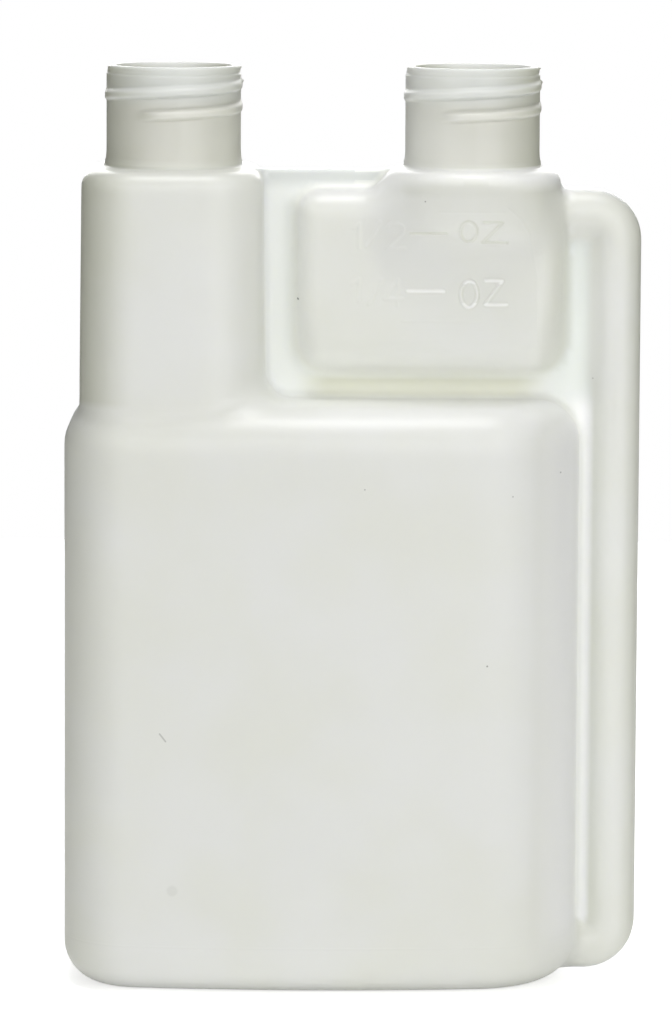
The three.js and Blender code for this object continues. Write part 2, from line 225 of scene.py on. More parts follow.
def hollowDistance(x, y, z):
    # All blown parts: the tube joins the reservoir low down and the dosing chamber high up.
    pipe = tubeDistance(x, y, z)
    low = roundJoin(reservoirDistance(x, y, z), pipe, tube["footJoin"])
    high = roundJoin(dosingDistance(x, y, z), pipe, tube["headJoin"])
    return np.minimum(low, high)


def outerDistance(x, y, z):
    # The fillet to the web is widest beside and under the chamber.
    share = np.interp(x, web["wideAcross"], (0, 1)) * np.interp(z, web["wideUp"], (0, 1, 1, 0))
    join = web["join"] + (web["chamberJoin"] - web["join"]) * share
    return roundJoin(hollowDistance(x, y, z), webDistance(x, y, z), join)


def innerDistance(x, y, z):
    # The inside lies one wall thickness in from the blown parts, and the web stays solid.
    return hollowDistance(x, y, z) + shell["wall"]


def surfaceNet(distance, low, high, step):
    # Each cell that the surface crosses gets one vertex, at the mean of its crossed edges, and
    # each crossed edge of the grid gets the quadrilateral of the four cells around it.
    axes = [np.arange(a, b + step, step) for a, b in zip(low, high)]
    value = distance(*np.meshgrid(*axes, indexing="ij"))
    inside = value < 0
    cells = tuple(n - 1 for n in value.shape)
    place = np.zeros(cells + (3,))
    count = np.zeros(cells)
    for axis in range(3):
        here = np.moveaxis(value, axis, 0)
        crossed = (here[:-1] < 0) != (here[1:] < 0)
        gap = here[:-1] - here[1:]
        share = np.where(crossed, here[:-1] / np.where(gap == 0, 1, gap), 0)
        for first in (0, 1):
            for second in (0, 1):
                part = (
                    slice(None),
                    slice(first, first + here.shape[1] - 1),
                    slice(second, second + here.shape[2] - 1),
                )
                hit = np.moveaxis(crossed[part], 0, axis)
                count += hit
                place[..., axis] += np.moveaxis(share[part], 0, axis)
                others = [a for a in range(3) if a != axis]
                place[..., others[0]] += hit * first
                place[..., others[1]] += hit * second
    used = count > 0
    index = np.full(cells, -1)
    index[used] = np.arange(used.sum())
    points = (np.argwhere(used) + place[used] / count[used][:, None]) * step
    points += np.array([a[0] for a in axes])
    faces = []
    for axis in range(3):
        order = (axis, (axis + 1) % 3, (axis + 2) % 3)
        within = inside.transpose(order)
        cell = index.transpose(order)
        start, stop = within[:-1, 1:-1, 1:-1], within[1:, 1:-1, 1:-1]
        ring = np.stack(
            [cell[:, :-1, :-1], cell[:, 1:, :-1], cell[:, 1:, 1:], cell[:, :-1, 1:]], axis=-1
        )
        faces.append(ring[start & ~stop])
        faces.append(ring[~start & stop][:, ::-1])
    return points, np.concatenate(faces)


def slopeOf(distance, points):
    # Central differences of the distance along the three axes.
    small = 0.02
    x, y, z = points.T
    return np.stack([
        distance(x + small, y, z) - distance(x - small, y, z),
        distance(x, y + small, z) - distance(x, y - small, z),
        distance(x, y, z + small) - distance(x, y, z - small),
    ], axis=1) / (2 * small)


def settled(distance, points, rounds=4):
    # Moves points along the distance's slope until they lie on the surface.
    for _ in range(rounds):
        slope = slopeOf(distance, points)
        steep = np.maximum((slope ** 2).sum(1), 0.05)
        points = points - slope * (distance(*points.T) / steep)[:, None] * 0.9
    return points


def relaxed(points, faces, distance, rounds=2):
    # Evens out the spacing: each point moves towards the mean of its neighbours, then settles.
    first = faces.ravel()
    second = np.roll(faces, -1, axis=1).ravel()
    for _ in range(rounds):
        total = np.zeros_like(points)
        number = np.zeros(len(points))
        for a, b in ((first, second), (second, first)):
            for axis in range(3):
                total[:, axis] += np.bincount(a, points[b, axis], len(points))
            number += np.bincount(a, minlength=len(points))
        mean = total / np.maximum(number, 1)[:, None]
        points = settled(distance, points * 0.5 + mean * 0.5, 2)
    return settled(distance, points, 3)


def openedAround(points, faces, x, radius, floor):
    # Takes away the faces round a neck and returns the rest with the rim of the hole, in order.
    near = (np.hypot(points[:, 0] - x, points[:, 1]) < radius) & (points[:, 2] > floor)
    gone = near[faces].any(axis=1)
    kept, lost = faces[~gone], faces[gone]

    def edges(some):
        return {
            (int(a), int(b)) for ring in some.tolist() for a, b in zip(ring, ring[1:] + ring[:1])
        }

    lostEdges = edges(lost)
    following = {a: b for a, b in lostEdges if (b, a) not in lostEdges}
    start = next(iter(following))
    rim = [start]
    while following[rim[-1]] != start:
        rim.append(following[rim[-1]])
    return kept, rim


def anglesAround(points, rim, x):
    # Turns the rim anticlockwise about the neck's axis and gives the angle of each point.
    angle = np.unwrap(np.arctan2(points[rim, 1], points[rim, 0] - x))
    if angle[-1] < angle[0]:
        rim, angle = rim[::-1], angle[::-1]
    return rim, np.mod(angle, 2 * math.pi)


def zipped(outer, inner, outerAngle, innerAngle):
    # Triangles between two rings that both run anticlockwise, always taking the nearer next step.
    outer, inner = list(outer), list(inner)
    begin = int(np.argmin(outerAngle))
    outer = outer[begin:] + outer[:begin]
    outerAngle = np.roll(outerAngle, -begin)
    begin = int(np.argmin(innerAngle))
    inner = inner[begin:] + inner[:begin]
    innerAngle = np.roll(innerAngle, -begin)
    outerAngle = np.append(outerAngle, outerAngle[0] + 2 * math.pi)
    innerAngle = np.append(innerAngle, innerAngle[0] + 2 * math.pi)
    outer.append(outer[0])
    inner.append(inner[0])
    triangles = []
    i, j = 0, 0
    while i < len(outer) - 1 or j < len(inner) - 1:
        outerNext = outerAngle[i + 1] if i < len(outer) - 1 else math.inf
        innerNext = innerAngle[j + 1] if j < len(inner) - 1 else math.inf
        if outerNext <= innerNext:
            triangles.append((outer[i], outer[i + 1], inner[j]))
            i += 1
        else:
            triangles.append((outer[i], inner[j + 1], inner[j]))
            j += 1
    return triangles


# Necks with a right-hand screw thread, which shrinks where the mould halves meet.
neck = {
    "fillX": -34.15, "doseX": 22.25, "radius": 12.6, "bore": 11.1, "rootTop": 154.4, "rim": 173.5,
    "hole": 14.35, "holeFloor": 150, "inHole": 12.9, "inHoleFloor": 149,
    "flare": 0.42, "flareHeight": 3.4, "lipStep": 0.16, "rimEdge": 0.4, "innerEdge": 0.3,
    "boreFoot": 1.2, "root": [(1.12, 0), (0.75, 0.06), (0.5, 0.2), (0.38, 0.42)],
    "threadFloor": 160, "seam": 0.09, "seamWidth": 0.28, "seamTop": 172.6,
    "ring": 0.1, "ringHeight": 155.5, "ringWidth": 0.22, "burrWidth": 0.35, "around": 180,
}
thread = {
    "start": -123.5, "turns": 1.53, "height": 164.17, "pitch": 4.23, "reach": 1.2, "relief": 0.3,
    "sharpness": 8, "fade": 0.07, "above": 1.5, "below": 1.0, "crest": 0.4,
}

# Crumbs of flash on the parting line of each neck, as height, reach and spread.
burrs = [(173.1, 0.4, 0.3), (170.6, 0.3, 0.3)]


def neckProfile():
    # Radii and heights from the platform up the outside, over the rim and down the bore.
    base, rim, radius = neck["rootTop"], neck["rim"], neck["radius"]
    rows = [(radius + out, base + up) for out, up in neck["root"]]
    for share in np.linspace(0.22, 1, 8):
        flare = neck["flare"] * (1 - share) ** 2
        rows.append((radius + flare, base + neck["flareHeight"] * share))
    rows += [(radius, z) for z in (159.6, 160.7, 161.8, 162.5)]
    rows += [(radius, z) for z in np.arange(162.75, 171.7, 0.25)]
    lip = radius - neck["lipStep"]
    rows += [(radius, 171.78), (radius - 0.03, 171.9), (lip, 172.02), (lip, 172.3), (lip, 172.8)]
    edge = neck["rimEdge"]
    for angle in np.radians((0, 22, 45, 68, 90)):
        rows.append((lip - edge + edge * math.cos(angle), rim - edge + edge * math.sin(angle)))
    edge = neck["innerEdge"]
    for angle in np.radians((90, 60, 30, 0)):
        turned = neck["bore"] + edge - edge * math.cos(angle)
        rows.append((turned, rim - edge + edge * math.sin(angle)))
    rows += [(neck["bore"], z) for z in (172.4, 170.5, 167, 163, 159, 156.5, 155)]
    foot = neck["boreFoot"]
    for angle in np.radians((0, 30, 60, 90)):
        rows.append((neck["bore"] + foot * (1 - math.cos(angle)), 154.6 - foot * math.sin(angle)))
    return np.array(rows)


def threadReach(angle, z):
    # The highest of the turns that pass this angle. Each turn is a ridge with a flat crest and
    # flanks like a raised cosine, the upper one more gentle.
    degrees = np.degrees(angle)
    parting = np.abs(np.cos(angle)) ** thread["sharpness"]
    crest = thread["reach"] - (thread["reach"] - thread["relief"]) * parting
    highest = np.zeros(np.broadcast(angle, z).shape)
    for turn in (-1, 0, 1):
        along = (degrees + 360 * turn - thread["start"]) / 360
        fade = np.minimum(along, thread["turns"] - along) / thread["fade"]
        fade = np.clip(fade, 0, 1)
        fade = fade * fade * (3 - 2 * fade)
        off = z - thread["height"] - thread["pitch"] * along
        span = np.where(off > 0, thread["above"], thread["below"])
        flank = np.clip((np.abs(off) - thread["crest"]) / (span - thread["crest"]), 0, 1)
        ridge = crest * fade * (0.5 + 0.5 * np.cos(math.pi * flank))
        highest = np.maximum(highest, ridge)
    return highest


def neckPoints(x):
    # The profile turned about the neck's axis. The thread is added to the wall, and the seam, the
    # ring at the root and the crumbs of flash are bell curves on top of it.
    profile = neckProfile()
    angle = np.arange(neck["around"]) * 2 * math.pi / neck["around"]
    radius = np.repeat(profile[:, :1], neck["around"], axis=1)
    height = np.repeat(profile[:, 1:], neck["around"], axis=1)
    outside = (radius > neck["radius"] - 0.01) & (height > neck["threadFloor"])
    radius = radius + np.where(outside, threadReach(angle[None, :], height), 0)
    toSide = np.sin(angle) * neck["radius"]
    seam = neck["seam"] * np.exp(-(toSide / neck["seamWidth"]) ** 2)
    onWall = (radius > neck["radius"] - 0.2) & (height < neck["seamTop"])
    radius = radius + np.where(onWall, seam, 0)
    ring = neck["ring"] * np.exp(-((height - neck["ringHeight"]) / neck["ringWidth"]) ** 2)
    radius = radius + np.where(radius > neck["radius"], ring, 0)
    right = np.exp(-(toSide / neck["burrWidth"]) ** 2) * (np.cos(angle) > 0)
    for at, reach, spread in burrs:
        bump = reach * right * np.exp(-((height - at) / spread) ** 2)
        radius = radius + np.where(radius > neck["radius"] - 0.3, bump, 0)
    points = np.stack([x + radius * np.cos(angle), radius * np.sin(angle), height], axis=2)
    return points.reshape(-1, 3), angle, len(profile)


# Graduation marks moulded on the dosing chamber, as strokes on the front face in X and Z, and
# the finer lines that the inserts of the mould leave there.
marks = {
    "halfWidth": 0.2, "flank": 0.2, "faint": 0.08, "clear": 0.19, "proud": 0.3,
    "split": 7, "around": 1.25, "frontOnly": -4.5,
    "lettersFrom": 18, "lowerMiddle": 131.2, "lowerHalf": 1.7,
}
inserts = {"height": 0.035, "halfWidth": 0.08, "flank": 0.24}

# The part of the web's top edge that gets fine faces too.
webTopFaces = {"middle": -5, "reach": 11.5, "depth": 1.6, "halfWidth": 1.5}


def glyph(shape, left, right, bottom, top):
    # Strokes of one sign in its box, as rows of points.
    def place(points):
        points = np.array(points, float)
        return np.stack(
            [left + points[:, 0] * (right - left), bottom + points[:, 1] * (top - bottom)], axis=1
        )
    turn = np.linspace(0, 2 * math.pi, 33)
    hook = np.radians(np.linspace(165, -35, 12))
    shapes = {
        "one": [[(0, 0.8), (1, 1), (1, 0)]],
        "slash": [[(0, 0), (1, 1)]],
        "two": [[*zip(0.48 + 0.47 * np.cos(hook), 0.73 + 0.27 * np.sin(hook)), (0, 0), (1, 0)]],
        "four": [[(0.72, 0), (0.72, 1), (0, 0.26), (1, 0.26)]],
        "bar": [[(0, 0.5), (1, 0.5)]],
        "ring": [[*zip(0.5 + 0.5 * np.cos(turn), 0.5 + 0.5 * np.sin(turn))]],
        "zed": [[(0.03, 1), (0.8, 1), (0, 0), (1, 0)]],
    }
    return [place(stroke) for stroke in shapes[shape]]


faintStrokes = [
    *glyph("one", -0.1, 0.95, 139.8, 144.2),
    *glyph("slash", 2.45, 4.85, 139.9, 144.65),
    *glyph("two", 6.1, 9.5, 139.75, 144.55),
    *glyph("one", -0.4, 0.95, 129.6, 133.75),
    *glyph("slash", 2.8, 5.2, 129.05, 133.6),
    *glyph("four", 5.7, 9.2, 128.85, 133.7),
]
clearStrokes = [
    *glyph("bar", 10.5, 17.2, 142.3, 142.9),
    *glyph("ring", 19.85, 22.85, 140.95, 145.0),
    *glyph("zed", 24.0, 28.5, 140.8, 144.8),
]
proudStrokes = [
    *glyph("bar", 10.1, 16.9, 131.4, 131.8),
    *glyph("ring", 20.1, 23.2, 128.6, 133.5),
    *glyph("zed", 24.7, 28.7, 129.1, 133.6),
]
insertStrokes = [
    np.array([(15.94, 146.85), (28.0, 146.85)]),
    np.array([(9.12, 125.9), (23.9, 125.9)]),
    np.array([(28.2, 126.3), (29.5, 126.4), (30.1, 126.9)]),
    np.array([
        (28.5, 147.8), (31.2, 145.4), (32.8, 142.5), (33.9, 137.5), (34.4, 134.3), (34.5, 121.8),
    ]),
]


def strokeDistance(strokes, x, z):
    # Distance in the XZ plane to the nearest stroke.
    best = np.full(x.shape, np.inf)
    for stroke in strokes:
        for (ax, az), (bx, bz) in zip(stroke[:-1], stroke[1:]):
            dx, dz = bx - ax, bz - az
            share = np.clip(((x - ax) * dx + (z - az) * dz) / (dx * dx + dz * dz), 0, 1)
            best = np.minimum(best, np.hypot(x - ax - share * dx, z - az - share * dz))
    return best


def refined(points, faces, marked, split):
    # Splits the marked faces into a finer lattice. A neighbour keeps its face and takes up the
    # extra points along the edge that it shares.
    points = list(points)
    between = {}
    result = []

    def along(a, b):
        key = (min(a, b), max(a, b))
        if key not in between:
            start, stop = np.array(points[key[0]]), np.array(points[key[1]])
            fresh = []
            for step in range(1, split):
                fresh.append(len(points))
                points.append(start + (stop - start) * step / split)
            between[key] = fresh
        run = between[key]
        return run if a == key[0] else run[::-1]

    faces = faces.tolist()
    for number in np.flatnonzero(marked):
        a, b, c, d = faces[number]
        bottom = [a, *along(a, b), b]
        top = [d, *along(d, c), c]
        left = [a, *along(a, d), d]
        right = [b, *along(b, c), c]
        rows = [bottom]
        for step in range(1, split):
            start, stop = np.array(points[left[step]]), np.array(points[right[step]])
            row = [left[step]]
            for inner in range(1, split):
                row.append(len(points))
                points.append(start + (stop - start) * inner / split)
            rows.append(row + [right[step]])
        rows.append(top)
        for low, high in zip(rows[:-1], rows[1:]):
            for k in range(split):
                result.append((low[k], low[k + 1], high[k + 1], high[k]))
    for number in np.flatnonzero(~marked):
        ring = faces[number]
        grown = []
        for a, b in zip(ring, ring[1:] + ring[:1]):
            grown.append(a)
            key = (min(a, b), max(a, b))
            if key in between:
                grown += between[key] if a == key[0] else between[key][::-1]
        result.append(tuple(grown))
    return np.array(points), result


def raisedMarks(points, faces, rims):
    # Fine faces where the marks and the web's sharp top edge stand. Every point in front then
    # moves out by the height of its stroke, times a smooth step of its distance to the stroke.
    centre = points[faces].mean(axis=1)
    strokes = faintStrokes + clearStrokes + proudStrokes + insertStrokes
    marked = strokeDistance(strokes, centre[:, 0], centre[:, 2]) < marks["around"]
    marked &= centre[:, 1] < marks["frontOnly"]
    onTop = centre[:, 2] > web["top"] - webTopFaces["depth"]
    onTop &= np.abs(centre[:, 1]) < webTopFaces["halfWidth"]
    marked |= onTop & (np.abs(centre[:, 0] - webTopFaces["middle"]) < webTopFaces["reach"])
    marked &= ~np.isin(faces, rims).any(axis=1)
    coarse = len(points)
    points, polygons = refined(points, faces, marked, marks["split"])
    points[coarse:] = settled(outerDistance, points[coarse:])
    lift = 0
    for kind, height, strokes in (
        (marks, marks["faint"], faintStrokes), (marks, marks["clear"], clearStrokes),
        (marks, marks["proud"], proudStrokes), (inserts, inserts["height"], insertStrokes),
    ):
        off = strokeDistance(strokes, points[:, 0], points[:, 2]) - kind["halfWidth"]
        rise = np.clip(1 - off / kind["flank"], 0, 1)
        lift = np.maximum(lift, height * rise * rise * (3 - 2 * rise))
    points[:, 1] -= lift * (points[:, 1] < marks["frontOnly"])
    print("marks and web edge", int(marked.sum()), "faces refined")
    return points, polygons


def buildShell():
    # Outer and inner skin, each with two round holes, and the two necks that join them there.
    points, faces = surfaceNet(outerDistance, shell["low"], shell["high"], shell["outerStep"])
    points = relaxed(points, faces, outerDistance)
    print("outer skin", len(points), "points")
    inPoints, inFaces = surfaceNet(innerDistance, shell["low"], shell["high"], shell["innerStep"])
    inPoints = relaxed(inPoints, inFaces, innerDistance)
    inFaces = inFaces[:, ::-1]
    print("inner skin", len(inPoints), "points")

    holes = []
    for x in (neck["fillX"], neck["doseX"]):
        faces, rim = openedAround(points, faces, x, neck["hole"], neck["holeFloor"])
        inFaces, inRim = openedAround(inPoints, inFaces, x, neck["inHole"], neck["inHoleFloor"])
        holes.append((x, rim, inRim))
    points, polygons = raisedMarks(points, faces, holes[0][1] + holes[1][1])

    parts = [points, inPoints]
    shift = len(points)
    polygons += [tuple(v + shift for v in ring) for ring in inFaces.tolist()]
    total = shift + len(inPoints)
    for x, rim, inRim in holes:
        ringPoints, angle, rows = neckPoints(x)
        around = neck["around"]
        base = total + np.arange(rows * around).reshape(rows, around)
        turned = np.roll(base, -1, axis=1)
        walls = np.stack([base[:-1], turned[:-1], turned[1:], base[1:]], axis=-1)
        polygons += [tuple(ring) for ring in walls.reshape(-1, 4).tolist()]
        rim, rimAngle = anglesAround(points, rim, x)
        polygons += zipped(rim, base[0].tolist(), rimAngle, angle)
        inRim, inAngle = anglesAround(inPoints, inRim, x)
        flipped = zipped([v + shift for v in inRim], base[-1].tolist(), inAngle, angle)
        polygons += [ring[::-1] for ring in flipped]
        parts.append(ringPoints)
        total += len(ringPoints)

    # Nothing reaches below the base plane. The points inside the holes carry no face any more,
    # so they go, and the rest are numbered again.
    points = np.concatenate(parts)
    points[:, 2] = np.maximum(points[:, 2], 0)
    used = np.zeros(len(points), bool)
    used[np.concatenate(polygons)] = True
    number = np.cumsum(used) - 1
    polygons = [tuple(number[list(ring)].tolist()) for ring in polygons]
    mesh = bpy.data.meshes.new("bottleShell")
    mesh.from_pydata((points[used] * millimetre).tolist(), [], polygons)
    mesh.validate()
    mesh.polygons.foreach_set("use_smooth", np.ones(len(mesh.polygons), bool))
    mesh.update()
    return mesh


class Sock:
    # A shader socket with arithmetic. Each operation adds one Math or Vector Math node.
    def __init__(self, tree, socket):
        self.tree = tree
        self.socket = socket

    def node(self, kind, settings=None, **sockets):
        made = self.tree.nodes.new(kind)
        for name, value in (settings or {}).items():
            setattr(made, name, value)
        for name, value in sockets.items():
            place = made.inputs[int(name[1:]) if name[0] == "_" and name[1:].isdigit() else name]
            if isinstance(value, Sock):
                self.tree.links.new(value.socket, place)
            else:
                place.default_value = value
        return made

    def math(self, operation, *values, clamp=False):
        settings = {"operation": operation, "use_clamp": clamp}
        sockets = {f"_{i}": value for i, value in enumerate(values)}
        made = self.node("ShaderNodeMath", settings, **sockets)
        return Sock(self.tree, made.outputs[0])

    def vector(self, operation, *values, output=0):
        sockets = {f"_{i}": value for i, value in enumerate(values)}
        made = self.node("ShaderNodeVectorMath", {"operation": operation}, **sockets)
        return Sock(self.tree, made.outputs[output])

    def __add__(self, other):
        return self.math("ADD", self, other)

    def __radd__(self, other):
        return self.math("ADD", other, self)

    def __sub__(self, other):
        return self.math("SUBTRACT", self, other)

    def __rsub__(self, other):
        return self.math("SUBTRACT", other, self)

    def __mul__(self, other):
        return self.math("MULTIPLY", self, other)

    def __rmul__(self, other):
        return self.math("MULTIPLY", other, self)

    def __abs__(self):
        return self.math("ABSOLUTE", self)

    def ramp(self, low, high, start=0.0, stop=1.0):
        # Smooth step of this value from start to stop as it goes from low to high.
        settings = {"interpolation_type": "SMOOTHSTEP"}
        limits = {"From Min": low, "From Max": high, "To Min": start, "To Max": stop}
        made = self.node("ShaderNodeMapRange", settings, Value=self, **limits)
        return Sock(self.tree, made.outputs["Result"])

    def blend(self, first, second):
        # Colour between first and second, with this value as the factor.
        settings = {"data_type": "RGBA", "blend_type": "MIX"}
        made = self.node("ShaderNodeMix", settings, _0=self, _6=first, _7=second)
        return Sock(self.tree, made.outputs[2])


# Natural polyethylene: milky and satin. Its colour carries painted shade, olive, where the surface
# turns to the side, and painted light where it turns away from the front or upwards. The flat web
# is painted lighter and cooler for light showing through it, with painted shade at its top and
# under the chamber. The neck lips are cooler and the neck walls warmer.
plastic = {
    "colour": (0.78, 0.79, 0.75), "tint": (0.76, 0.77, 0.705),
    "cloud": 38.0, "tinted": (0.35, 0.68),
    "web": (0.83, 0.845, 0.83), "webTop": (0.69, 0.71, 0.70), "strip": (0.95, 0.96, 0.95),
    "recess": (0.80, 0.825, 0.80), "bandShade": (0.74, 0.745, 0.66), "neck": (0.70, 0.70, 0.645),
    "lip": (0.67, 0.685, 0.66), "mouth": (0.84, 0.85, 0.82), "edge": (0.58, 0.59, 0.49),
    "paintedLight": (0.91, 0.92, 0.87), "speck": (0.16, 0.16, 0.13), "roughness": 0.37, "uneven": 0.1,
    "scatter": 0.75, "radius": (1.0, 1.0, 0.92), "scatterScale": 0.0021, "ior": 1.5,
    "dents": 55.0, "dentHeight": 0.5, "footLine": 9.4, "footWidth": 0.3, "footHeight": 0.03,
}

# Soft borders between the colours, in millimetres, each from one place to the other.
borders = {
    "web": (1.1, 2.6), "webTop": (149.5, 153.0), "strip": (40.0, 43.0), "stripTop": (107.0, 113.0),
    "recess": (36.0, 40.0), "recessFoot": (109.0, 114.0), "bandTop": (113.5, 116.5),
    "bandLeft": (-12.0, -4.0), "bandRight": (30.0, 38.0), "neck": (154.5, 156.0),
    "lip": (165.5, 168.5), "bore": (11.3, 11.8), "boreFoot": (154.5, 160.0), "front": (-0.8, 0.0),
    "footRight": (42.5, 43.5),
}

# How strongly each place takes the painted shade of a side and the painted light; on the marks
# these are painted shade on the upper row and painted highlights on the lower row.
weights = {
    "fillNeckLeft": 0.85, "fillNeckRight": 0.5, "doseNeckLeft": 0.6, "bodyLeft": 0.5,
    "tubeRight": 0.8, "chamberRight": 0.5, "bodyRight": 0.25, "upperMarks": 0.6,
    "lowerMarks": 0.9, "lowerLetters": 0.1,
}

# Where those places lie.
places = {
    "neckFrom": 154.9, "columnSide": -35, "tubeSide": 47, "chamber": (-12, 41), "chamberTop": 151,
    "aboveShoulder": 3, "offWeb": 1.2, "sideTurn": (0, 0.4), "rightShare": 0.1,
    "platformFrom": 150, "bodyEnd": 44, "bodySide": (33, 36), "bodyFoot": (4, 12),
    "shoulderFrom": (-20, -2), "shoulderDepth": 12,
}

# Specks on the front, as X, Z, radius and depth of tone, and one short scratch. The tone fades
# between these two shares of the radius.
specks = [
    (-33.48, 20.1, 1.0, 0.09), (25.18, 62.77, 0.17, 0.75), (29.75, 94.51, 0.15, 0.45),
    (38.88, 98.25, 0.16, 0.45), (45.32, 114.67, 0.15, 0.35), (2.18, 96.06, 0.15, 0.5),
    (-10.53, 129.59, 0.2, 0.85), (13.22, 148.84, 0.15, 0.6),
]
speckFade = (0.7, 1.3)
scratch = {
    "from": (-35.85, 49.8), "to": (-34.75, 48.4), "radius": 0.16, "depth": 0.4, "fade": (0.6, 1.3),
}


def paintLightAndShade(mesh):
    # Two weights for each point, both painted into the colour. The first is painted shade: it
    # grows with a power of how far the normal turns to the side. The second is painted light: it
    # grows with how far it turns away from the front, or upwards on the shoulder.
    count = len(mesh.vertices)
    place, normal = np.zeros(count * 3), np.zeros(count * 3)
    mesh.vertices.foreach_get("co", place)
    mesh.vertices.foreach_get("normal", normal)
    x, y, z = place.reshape(-1, 3).T / millimetre
    across, deep, up = normal.reshape(-1, 3).T
    toLeft, toRight = np.clip(-across, 0, 1), np.clip(across, 0, 1)
    shoulder = body["height"]
    onNeck = z > places["neckFrom"]
    # Painted shade where the normal turns to the side: both sides of the filling neck, the right
    # of the dosing neck, the left of the column and the body, the right of the tube.
    fillNeck = weights["fillNeckLeft"] * toLeft ** 2 + weights["fillNeckRight"] * toRight ** 2
    edge = np.where(onNeck, np.where(x < 0, fillNeck, toRight ** 2), 0)
    left = ~onNeck & (x < places["columnSide"])
    edge = np.where(left & (z > shoulder), toLeft ** 1.2, edge)
    edge = np.where(left & (z <= shoulder), weights["bodyLeft"] * toLeft ** 3, edge)
    onTube = ~onNeck & (x > places["tubeSide"])
    edge = np.where(onTube, weights["tubeRight"] * toRight ** 2, edge)

    # On the chamber's front and back: painted light where the normal turns away from the front,
    # mostly on its left, and painted shade on its right side.
    onChamber = (x > places["chamber"][0]) & (x < places["chamber"][1])
    onChamber &= (z > shoulder + places["aboveShoulder"]) & (z < places["chamberTop"])
    onChamber &= np.abs(y) > places["offWeb"]
    side = np.clip(2 - 2 * np.abs(deep), 0, 1)
    side = side * np.interp(across, places["sideTurn"], (1, places["rightShare"]))
    paintedLight = np.where(onChamber, side, 0)
    edge = np.maximum(edge, onChamber * weights["chamberRight"] * toRight)
    # Painted light on the left of the dosing neck and on the upward faces of the platform.
    paintedLight = np.where(onNeck & (x > 0), weights["doseNeckLeft"] * toLeft, paintedLight)
    onPlatform = ~onNeck & (z > places["platformFrom"]) & (x > 0)
    paintedLight = np.where(onPlatform, np.clip(up * 1.8, 0, 1), paintedLight)

    # Painted light and painted shade on the body's right end, and painted light on the upward
    # faces of the shoulder.
    inBody = (z < shoulder + 1) & (x < places["bodyEnd"])
    beside = np.interp(x, places["bodySide"], (0, 1)) * inBody
    beside = beside * np.interp(z, places["bodyFoot"], (0, 1))
    paintedLight = np.maximum(paintedLight, beside * np.clip(toRight * 2.4 - 1.2, 0, 1))
    edge = np.maximum(edge, beside * weights["bodyRight"] * np.sin(math.pi * toRight))
    over = np.interp(x, places["shoulderFrom"], (0, 1)) * inBody
    over = over * (z > shoulder - places["shoulderDepth"])
    paintedLight = np.maximum(paintedLight, over * np.clip(up * 1.3 - 0.4, 0, 1))

    # The moulded strokes of the upper row get painted shade, so they look darker. Those of the
    # lower row get painted highlights, but only at the tops and bottoms of its letters.
    front = (y < marks["frontOnly"]) & (z > shoulder)

    def onStrokes(strokes):
        off = np.full(len(x), np.inf)
        off[front] = strokeDistance(strokes, x[front], z[front]) - marks["halfWidth"]
        return np.clip(1 - off / marks["flank"], 0, 1)

    edge = np.maximum(edge, weights["upperMarks"] * onStrokes(clearStrokes))
    letters = (x > marks["lettersFrom"]) & (np.abs(z - marks["lowerMiddle"]) < marks["lowerHalf"])
    lighter = np.where(letters, weights["lowerLetters"], weights["lowerMarks"])
    paintedLight = np.maximum(paintedLight, lighter * onStrokes(proudStrokes))
    for name, value in (("edge", edge), ("paintedLight", paintedLight)):
        layer = mesh.attributes.new(name, "FLOAT", "POINT")
        layer.data.foreach_set("value", value.astype(np.float32))


def above(value, border):
    # A smooth step from 0 before the border to 1 beyond it.
    low, high = borders[border]
    return value.ramp(low * millimetre, high * millimetre)


def below(value, border):
    # A smooth step from 1 before the border to 0 beyond it.
    low, high = borders[border]
    return value.ramp(low * millimetre, high * millimetre, 1.0, 0.0)


def speckTone(where, y):
    # Sum over the specks and the scratch: each is a round spot or a short capsule with a soft
    # border, by the distance to it in the XZ plane, on the front side only.
    flat = where.vector("MULTIPLY", where, (1.0, 0.0, 1.0))
    tone = 0.0
    for atX, atZ, radius, depth in specks:
        off = flat.vector("DISTANCE", flat, (atX * millimetre, 0.0, atZ * millimetre), output=1)
        low, high = (radius * share * millimetre for share in speckFade)
        tone = off.ramp(low, high, depth, 0.0) + tone
    start = (scratch["from"][0] * millimetre, 0.0, scratch["from"][1] * millimetre)
    stop = (scratch["to"][0] * millimetre, 0.0, scratch["to"][1] * millimetre)
    along = tuple(b - a for a, b in zip(start, stop))
    reach = flat.vector("SUBTRACT", flat, start)
    share = reach.vector("DOT_PRODUCT", reach, along, output=1)
    share = share.math("DIVIDE", share, sum(value * value for value in along), clamp=True)
    nearest = where.node("ShaderNodeVectorMath", {"operation": "SCALE"}, _0=along, Scale=share)
    off = reach.vector("DISTANCE", reach, Sock(where.tree, nearest.outputs[0]), output=1)
    low, high = (scratch["radius"] * share * millimetre for share in scratch["fade"])
    tone = off.ramp(low, high, scratch["depth"], 0.0) + tone
    return tone * below(y, "front")


